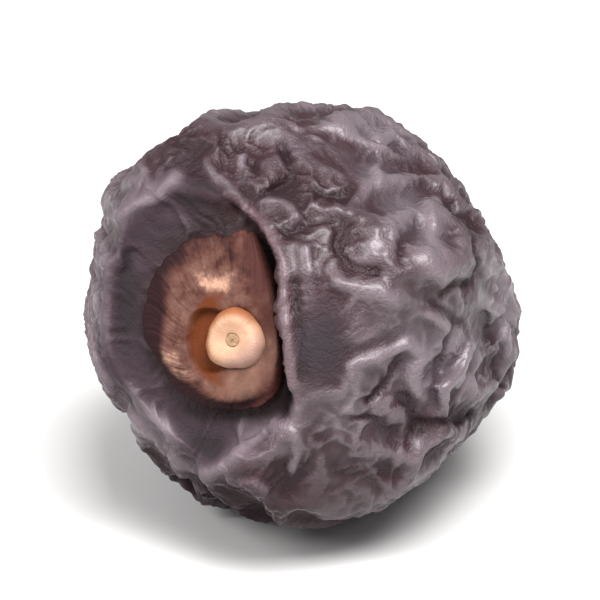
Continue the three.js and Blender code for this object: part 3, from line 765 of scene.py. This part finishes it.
def makeSkinFinish():
    # The tone rises from the creases to the folds, partly as the bloom of raised skin and partly as
    # painted shade in the creases, is mottled, and takes the seen patches and folds as painted light and
    # shade. Over it lie redder places, a pale bloom, the seen folds' pale lines with a painted highlight,
    # painted shade along the creases, the facet, and the hollow's painted shade and light, with a painted
    # shadow round the petals, a painted highlight on its rim, painted shade on the fold's inner side and
    # a painted highlight on its crest.
    material, place, shader = newFinish("date_skin")
    relief, form, seen, hollow, facet, patch = (
        place.named(name) for name in ("relief", "form", "seen", "hollow", "facet", "patch"))
    sizes = skin["sizes"]
    cloud = place.noise(sizes["cloud"])
    mottle = place.noise(sizes["mottle"], 5, 0.6)
    grain = place.noise(sizes["grain"], 4, 0.6)
    raised = (relief * 0.4 + form * 0.5 + 0.5).held()
    tone = raised * 0.42 + (mottle - 0.5) * 0.45 + (cloud - 0.5) * 0.8
    # the patches and the seen folds add painted light and shade to the tone
    tone = (tone + (patch * 0.4 + seen * 0.2) + 0.26).held()
    colour = tone.ramp(skin, {"deep": 0.1, "valley": 0.36, "plain": 0.56, "crest": 0.88})
    reddish = place.noise(sizes["reddish"]).between(0.52, 0.7) * (0.6 - raised * 0.6).held()
    bloom = place.noise(sizes["bloom"], 4, 0.65, 0.4).between(0.5, 0.75)
    # the bloom is the skin's own, and is also stronger where the patches paint light
    bloom = ((bloom + patch) * (mottle + 0.2) * 0.4).held()
    colour = layered(colour, skin, {
        "reddish": reddish * 0.9,
        "bloom": bloom,
        # pale lines of bloom with a painted highlight along the folds
        "line": (place.named("foldBloomAndHighlight") * (mottle + 0.1) * 0.3).held(),
        # painted shade along the seen creases
        "deep": place.named("creaseShade") * 0.35,
        "facet": (facet * (mottle * 0.8 + 0.5)).held(),
    })
    # the hollow is painted in shaded and lit tones from the patches, the mottle and how far the skin
    # stands out, up to the painted highlight of the rim
    hollowTone = (patch * 0.5 + (mottle - 0.5) * 0.5 + form * 0.3 + 0.4).held()
    hollowColour = hollowTone.ramp(skin, {"hollowShaded": 0.05, "hollowLit": 0.4, "rimHighlight": 0.95})
    # a painted shadow round the petals
    hollowColour = layered(hollowColour, skin, {"petalShadow": place.named("shadowByPetals") * 0.8})
    colour = layered((hollow * 0.95).over(colour, hollowColour), skin, {
        # a painted highlight along the rim of the hollow
        "rimHighlight": place.named("rimHighlight") * 0.85,
        # painted shade on the fold's inner side
        "foldSideShade": place.named("foldSideShade") * 0.9,
        # a painted highlight along the fold's crest
        "foldCrest": (place.named("foldCrest") * (0.9 + patch * 0.3)).held(),
    })
    # the bump: thin lines, on a place that a slower noise has swirled
    swirl = place.noise(sizes["swirl"], 2, output=1).vector("SUBTRACT", (0.5, 0.5, 0.5))
    bent = place.vector("ADD", swirl.vector("SCALE", scale=skin["swirlReach"] * mm))
    drawn = bent.vector("MULTIPLY", (1.0, skin["fibreStretch"], 1.0))
    creases = bent.lines(sizes["crease"], 3, 0.55, 0.12)
    wrinkles = bent.lines(sizes["wrinkle"], 2, 0.5, 0.16)
    fibres = drawn.lines(sizes["fibre"], 2, 0.5, 0.14)
    height = creases + wrinkles * 0.6 + fibres * 0.6
    height = height * (1 - hollow * 0.5 - facet * 0.25) + grain * 0.5
    rough = skin["roughness"] - raised * 0.08 + mottle * 0.16 - patch * 0.15
    coat = raised * 0.45 + patch * 0.35 + skin["coat"] - hollow * 0.3 - bloom * 0.25 - facet * 0.5
    rough = (rough + hollow * 0.2 + bloom * 0.2 + facet * 0.15).held()
    finishWith(shader, skin, height, Base_Color=colour, Roughness=rough, Coat_Weight=coat.held())
    return material


makeFruit(makeSkinFinish())

print("scene: the petals")
cap = {
    "spokes": 432,
    "pocketRings": (0.2, 1.95, 10),  # the first ring's radius, the last one's and how many there are
    "wallRings": (2.05, 2.7, 18),
    "outerRings": (0.04, 0.97, 34),  # the same as shares of the way from the collar to the edge
    "gap": 0.2,  # height of the underside
    "petalCount": 3,
    "petalRadius": 4.65,
    "petalTurn": math.radians(100),
    "petalNotch": 0.06,
    "petalWave": 0.03,
    "fray": 0.007,  # how ragged the edge is, as a share of the radius
    "frayCounts": (11, 19, 31, 47, 73, 101),
    "fibre": 0.014,  # depth of the fibres
    "fibreCounts": (29, 43, 61, 83, 113, 149),
    "edgeHeight": 0.95,
    "edgeDepth": 0.5,
    "edgeInset": 0.12,
    "curl": 0.15,
    "bend": 1.3,
    "ripple": 0.07,
    "rippleCount": 7,
    "rippleSwirl": 2,
    "tuck": 0.85,
    "squeeze": 0.35,
    "step": 0.25,
    "collarRadius": 2.7,
    "collarHeight": 1.5,
    "collarWall": 0.2,
    "pocketRadius": 2.45,
    "pocketHeight": 1.02,
    "leanSide": math.radians(10),  # on this side the collar leans on the cup and fills the pocket
    "leanFoot": 1.15,  # there its wall's foot and top come in so far
    "leanTop": 1.1,
    "mottleSize": 0.9,
    "cloudSize": 2.4,
    "fineSize": 0.2,
    "bump": (0.6, 0.05),
    "gloss": {"IOR": 1.4, "Specular IOR Level": 0.2},
    # the darkest is the petals' dark edge together with painted shade, and the warm tone is partly
    # painted light
    "darkEdgeAndShade": (26, 4, 7), "edge": (44, 19, 16), "plain": (68, 39, 32), "dusty": (88, 61, 53),
    # painted shade in an ochre tone for the groove, then a painted shadow at the foot of the fold
    "warm": (152, 116, 98), "grooveShade": (78, 33, 4), "foldShadow": (56, 26, 22),
}


def ringFaces(rings, spokes):
    # triangles between neighbouring rings, and a fan of them at each end point
    here = 1 + np.arange(rings * spokes).reshape(rings, spokes)
    beside = np.roll(here, -1, axis=1)
    first, last = np.zeros(spokes, int), np.full(spokes, 1 + rings * spokes)
    corners = (
        (here[:-1], here[1:], beside[1:]), (here[:-1], beside[1:], beside[:-1]),
        (first, here[0], beside[0]), (last, beside[-1], here[-1]))
    return np.concatenate([np.stack(three, -1).reshape(-1, 3) for three in corners])


def ringSurface(radii, heights, turns):
    # rings round the cup's middle: radius and height for each ring and turn; a point closes each end
    across, up = lie["cup"]
    grid = np.stack([across + radii * np.cos(turns), up + radii * np.sin(turns), heights], -1)
    grid = grid.reshape(-1, 3)
    ends = [[across, up, heights[row].mean()] for row in (0, -1)]
    points = np.concatenate([ends[:1], grid, ends[1:]])
    return points, ringFaces(len(radii), len(turns))


def roundTurns(spokes):
    # evenly spaced turns, once round
    return np.linspace(0, 2 * math.pi, spokes, endpoint=False)


def alongPetal(turn):
    # 0 where a petal's edge lies on top, rising to 1 where its other edge lies underneath
    return np.mod((turn - cap["petalTurn"]) / (2 * math.pi) * cap["petalCount"], 1)


def manyWaves(turn, counts, stream):
    # the sum of one sine for each count, with its own phase and a size that falls as the count rises
    phases = 2 * math.pi * draw(np.arange(len(counts)), stream)
    return sum((counts[0] / n) ** 0.4 * np.sin(n * turn + phase) for n, phase in zip(counts, phases))


def petalEdge(turn):
    # the outline: radius times 1, less a notch between petals, plus a slow wave and a fine fray
    across = np.abs(2 * alongPetal(turn) - 1) ** 5
    fray = cap["fray"] * manyWaves(turn, cap["frayCounts"], 71)
    wave = cap["petalWave"] * np.sin(2 * turn + 1)
    return cap["petalRadius"] * (1 - cap["petalNotch"] * across + wave + fray)


def petalTop(radius, turn):
    # the pocket, the collar's wall round it, a slope to the edge, a step at each overlap, ripples and
    # fibres
    pocket, collar = cap["pocketHeight"], cap["collarRadius"]
    lean = ease(np.cos(turn - cap["leanSide"]), -0.92, -0.3)
    wallFoot = cap["pocketRadius"] - cap["collarWall"] - cap["leanFoot"] * lean
    wall = ease(radius, wallFoot, collar - cap["leanTop"] * lean)
    out = np.clip((radius - collar) / (cap["petalRadius"] - collar), 0, 1.2)
    slope = (cap["collarHeight"] - cap["edgeHeight"]) * out ** cap["bend"]
    step = cap["step"] * (0.5 - alongPetal(turn)) * ease(radius, cap["pocketRadius"], collar + 1)
    ripple = cap["ripple"] * out * np.sin(cap["rippleCount"] * turn + cap["rippleSwirl"] * radius)
    fibre = manyWaves(turn + 0.01 * np.sin(5 * radius), cap["fibreCounts"], 75)
    fibre = cap["fibre"] * fibre * ease(radius, collar - 0.3, collar + 0.7)
    return pocket + (cap["collarHeight"] - pocket) * wall - slope + step + ripple + fibre


def squeezed(points):
    # pressed in at the foot of the fold: the soft minimum of a point's place and the room there is
    room = points[:, 0] - pastFold(points) - lie["foldWidth"] - cap["tuck"]
    over = points[:, 0] - room
    soft = 2 * cap["squeeze"]
    points[:, 0] -= (over + np.hypot(over, soft)) / 2 - (np.hypot(room, soft) - room) / 2
    return points


def makePetals(finish):
    # rings from the middle of the pocket over the collar to the frayed edge, down it and back underneath
    turns = roundTurns(cap["spokes"])
    edge = petalEdge(turns)
    collar = cap["collarRadius"]
    inner = np.concatenate([np.linspace(*cap["pocketRings"]), np.linspace(*cap["wallRings"])])
    radii = [np.full_like(turns, radius) for radius in inner]
    radii += [collar + (edge - collar) * share for share in np.linspace(*cap["outerRings"])]
    heights = [petalTop(radius, turns) for radius in radii]
    edgeTop = petalTop(edge, turns)
    radii += [edge, edge, edge, edge - cap["edgeInset"]]
    heights += [edgeTop - depth for depth in (0.1, 0.3, cap["edgeDepth"])]
    heights.append(cap["gap"] + cap["curl"] * (1 - alongPetal(turns)))
    radii += [edge * share for share in (0.9, 0.7, 0.3, 0.05)]
    heights += [np.full_like(turns, cap["gap"])] * 4
    points, faces = ringSurface(np.array(radii), np.array(heights), turns)
    fromCup = np.hypot(*(points[:, :2] - lie["cup"]).T)
    reach = np.concatenate([[0], (np.array(radii) / edge).ravel(), [0]])
    out = ease(fromCup, collar, cap["petalRadius"])
    points[:, :2] += out[:, None] * (np.array(lie["petals"]) - lie["cup"])
    points = squeezed(points)
    sideways, upward = ((points[:, :2] - lie["cup"]) / cap["petalRadius"]).T
    attributes = {
        "fromCup": fromCup,
        "reach": reach,
        # a painted shadow that the fold casts on the petals near its foot
        "shadowByFold": ease(pastFold(points), -3.0, -2.2),
        "sideways": sideways,
        "upward": upward,
    }
    points[:, 2] += lie["seatHeight"]
    points = toWorld(points)
    # painted light and shade, with the petals' blotches
    attributes["patch"] = seenPatch(points, normalsOf(points, faces), capLightShadeAndBlotches)
    return addPiece("date_petals", points, faces, finish, "petals", attributes)


def makePetalFinish():
    # mottled brown, warmer in the seen patches, which are painted light and shade together with blotches,
    # and with painted light at the lower right; a dark red edge that also takes painted shade, painted
    # shade in an ochre tone in the groove to the left of the cup, and a painted shadow at the foot of the
    # fold
    material, place, shader = newFinish("date_petals")
    reach, patch = place.named("reach"), place.named("patch")
    sideways, upward = place.named("sideways"), place.named("upward")
    mottle = place.noise(cap["mottleSize"], 5, 0.6)
    cloud = place.noise(cap["cloudSize"])
    fine = place.noise(cap["fineSize"], 4, 0.6)
    tone = (mottle * 1.1 - 0.15 + (cloud - 0.5) * 0.6 + (fine - 0.5) * 0.3 + patch * 0.45).held()
    colour = tone.ramp(cap, {"darkEdgeAndShade": 0.1, "edge": 0.25, "plain": 0.42, "dusty": 0.64, "warm": 0.9})
    lit = (sideways * 0.9 - upward * 0.8).between(0.05, 0.5) * (1 - reach.between(0.5, 0.85))
    # the dark edge is darker towards the lower left and where the patches are dark, as painted shade
    edge = reach + (mottle - 0.5) * 0.14 - sideways * 0.08 - upward * 0.12 - patch * 0.1
    # painted shade in the groove round the cup, on its left side only
    leftSide = (sideways * -1 - upward * 0.09).between(0.04, 0.3)
    grooveShade = (1 - place.named("fromCup").between(2.3, 2.75)) * leftSide
    colour = layered(colour, cap, {
        "warm": lit * 0.25,
        "darkEdgeAndShade": edge.between(0.8, 0.97),
        "grooveShade": grooveShade * 0.92,
        "foldShadow": place.named("shadowByFold") * (0.7 - patch * 0.5).held(),
    })
    rough = (0.55 + fine * 0.3).held()
    finishWith(shader, cap, fine + mottle, Base_Color=colour, Roughness=rough)
    return material


makePetals(makePetalFinish())

print("scene: the cup of sepals")
sepals = {
    "spokes": 288,
    "ringsPerRow": 6,
    "radius": 1.55,
    "height": 2.15,
    "sunk": 0.2,  # its foot stands this far in the petals' pocket
    "lobe": 0.05,
    "lobeRise": 0.1,
    "holeRadius": 0.28,
    "holeFloor": 1.25,
    "grain": 0.008,
    "grainCount": 38,
    "mottleSize": 0.7,
    "fineSize": 0.16,
    "bump": (0.5, 0.04),
    "gloss": {"IOR": 1.45},
    # the first two are the cup's own mottled cream; the rest are painted shade: pinker at the lower
    # right, orange round the rim, most on the left, and dark at the foot
    "cream": (158, 123, 98), "pale": (146, 110, 86), "pinkShade": (136, 105, 94),
    "orangeShade": (120, 66, 30), "shade": (84, 42, 18),
}


def makeSepals(finish):
    # the cup's section, from the floor of its hole over the rolled rim and down the outside: rows of a
    # radius, a height and how much of the lobes shows there
    turns = roundTurns(sepals["spokes"])
    hole, floor, top, wide = (sepals[key] for key in ("holeRadius", "holeFloor", "height", "radius"))
    foot = cap["pocketHeight"] - sepals["sunk"]
    section = np.array([
        (0.02, floor, 0), (hole * 0.6, floor, 0), (hole, floor + 0.05, 0), (hole, top - 0.3, 0),
        (hole + 0.1, top - 0.15, 0.1), (wide * 0.45, top - 0.07, 0.4), (wide * 0.62, top, 0.8),
        (wide * 0.8, top - 0.12, 1), (wide * 0.94, top - 0.38, 1), (wide, top - 0.7, 0.8),
        (wide * 0.97, top - 1, 0.5), (wide * 0.88, foot + 0.2, 0.3), (wide * 0.82, foot, 0),
        (wide * 0.4, foot, 0), (0.02, foot, 0),
    ])
    fine = np.linspace(0, len(section) - 1, sepals["ringsPerRow"] * len(section))
    radius, height, lift = (np.interp(fine, np.arange(len(section)), column) for column in section.T)
    radius, height = softened(radius, 6), softened(height, 6)
    lobes = np.cos(cap["petalCount"] * (turns - cap["petalTurn"]))
    wobble = 0.012 * np.sin(5 * turns + 0.4) + 0.01 * np.sin(11 * turns + 2)
    grain = sepals["grain"] * np.sin(sepals["grainCount"] * turns + 3 * np.sin(2 * turns))
    grain = grain * (0.5 + 0.5 * np.sin(13 * turns + 1))
    radii = radius[:, None] * (1 + lift[:, None] * (sepals["lobe"] * lobes + wobble))
    heights = height[:, None] + lift[:, None] * (sepals["lobeRise"] * lobes + grain)
    points, faces = ringSurface(radii, heights, turns)
    right, up = (points[:, :2] - lie["cup"]).T
    attributes = {
        "rim": np.hypot(right, up) / wide,
        "level": (points[:, 2] - foot) / (top - foot),
        "lowerRight": (right - up) / (math.sqrt(2) * wide),
    }
    points[:, 2] += lie["seatHeight"]
    return addPiece("date_sepals", toWorld(points), faces, finish, "sepal_cup", attributes)


def makeSepalFinish():
    # mottled cream, with painted shade: pinker at the lower right, orange on the rim of the left side and
    # dark at the foot
    material, place, shader = newFinish("date_sepals")
    lowerRight = place.named("lowerRight")
    mottle = place.noise(sepals["mottleSize"], 4, 0.6)
    fine = place.noise(sepals["fineSize"], 4, 0.6)
    left = (lowerRight * -1).between(-0.5, 0.4)
    colour = layered(srgb(*sepals["cream"]), sepals, {
        "pale": mottle.between(0.35, 0.7),
        # painted shade on the lower right, round the rim, most on the left, and at the foot
        "pinkShade": lowerRight.between(0.1, 0.8),
        "orangeShade": place.named("rim").between(0.66, 0.94) * (left * 0.8 + 0.15),
        "shade": (1 - place.named("level").between(0.1, 0.7)) * 0.85,
    })
    rough = (0.5 + fine * 0.25).held()
    finishWith(shader, sepals, fine + mottle, Base_Color=colour, Roughness=rough)
    return material


makeSepals(makeSepalFinish())

print("scene: the scar")
scar = {
    "spokes": 96,
    "radius": 0.33,
    "height": 1.99,
    "oval": 0.03,
    "torn": 0.015,  # how uneven its end is, and how deep the strands in it are
    "strand": 0.012,
    "mottleSize": 0.25,
    "bump": (0.6, 0.04),
    "gloss": {"IOR": 1.45},
    "dark": (112, 88, 62), "light": (134, 106, 78),
}


def makeScar(finish):
    # a short torn stub that fills the cup's hole: rings out over its end, then down its side and back in
    turns = roundTurns(scar["spokes"])
    whole = scar["height"] - (sepals["holeFloor"] + 0.02)
    shares = np.concatenate([np.linspace(0.08, 0.92, 12), [1, 1, 1, 0.95, 0.5, 0.05]])[:, None]
    drops = np.concatenate([np.zeros(12), [0.06, 0.2, 0.4, whole, whole, whole]])[:, None]
    torn = scar["torn"] * np.sin(9 * turns + 1) * np.sin(4 * turns)
    radii = scar["radius"] * shares * (1 + scar["oval"] * np.cos(2 * turns) + 0.02 * np.sin(7 * turns))
    strands = scar["strand"] * np.sin(14 * shares + 5 * turns) * np.sin(11 * turns + 6 * shares)
    heights = scar["height"] - drops + (drops < 0.3) * (torn + strands)
    points, faces = ringSurface(radii, heights, turns)
    points[:, 2] += lie["seatHeight"]
    return addPiece("date_scar", toWorld(points), faces, finish, "stalk_scar", {})


def makeScarFinish():
    # mottled brown
    material, place, shader = newFinish("date_scar")
    mottle = place.noise(scar["mottleSize"], 4, 0.6)
    colour = mottle.ramp(scar, {"dark": 0.3, "light": 0.6})
    finishWith(shader, scar, mottle, Base_Color=colour, Roughness=(0.6 + mottle * 0.2).held())
    return material


makeScar(makeScarFinish())

print("scene: the floor, the light and the camera")
studio = {
    "floorSize": 1.2,  # this and the rest in metres
    "floorColour": (0.57, 0.565, 0.56, 1),
    "floorRoughness": 0.6,
    "skyStrength": 0.5,
    # each light's height, how far it stands to the right and towards the camera, its size and its power
    "lights": {
        "key": (0.24, 0.06, 0.23, 0.2, 3.8),
        "side": (0.14, -0.24, 0.12, 0.14, 0.9),
    },
    "distance": 0.4,
    "lens": 470,
    "lookHeight": 0.0106,
}


def makeFloor():
    # one pale square
    half = studio["floorSize"] / 2
    corners = [(-half, -half, 0), (half, -half, 0), (half, half, 0), (-half, half, 0)]
    mesh = bpy.data.meshes.new("floor")
    mesh.from_pydata(corners, [], [(0, 1, 2, 3)])
    floor = inScene("floor", mesh)
    material, _, shader = newFinish("floor")
    shader.inputs["Base Color"].default_value = studio["floorColour"]
    shader.inputs["Roughness"].default_value = studio["floorRoughness"]
    mesh.materials.append(material)


def makeLights():
    # square soft lights that face the date, and an even white sky
    for name, (height, right, near, size, power) in studio["lights"].items():
        light = bpy.data.lights.new(name, "AREA")
        light.size = size
        light.energy = power
        lamp = inScene(name, light)
        lamp.location = Vector((0, 0, height)) + rightwards * right + towards * near
        lamp.rotation_euler = (-lamp.location).to_track_quat("-Z", "Y").to_euler()
    world = bpy.data.worlds.new("world")
    world.use_nodes = True
    sky = world.node_tree.nodes["Background"]
    sky.inputs["Color"].default_value = (1, 1, 1, 1)
    sky.inputs["Strength"].default_value = studio["skyStrength"]
    bpy.context.scene.world = world


def makeCamera():
    # straight out from the seen side, level with the date's middle
    camera = bpy.data.cameras.new("camera")
    camera.lens = studio["lens"]
    holder = inScene("camera", camera)
    holder.location = Vector((0, 0, studio["lookHeight"])) + towards * studio["distance"]
    holder.rotation_euler = towards.to_track_quat("Z", "Y").to_euler()
    bpy.context.scene.camera = holder
    bpy.context.scene.view_settings.view_transform = "Standard"


makeFloor()
makeLights()
makeCamera()
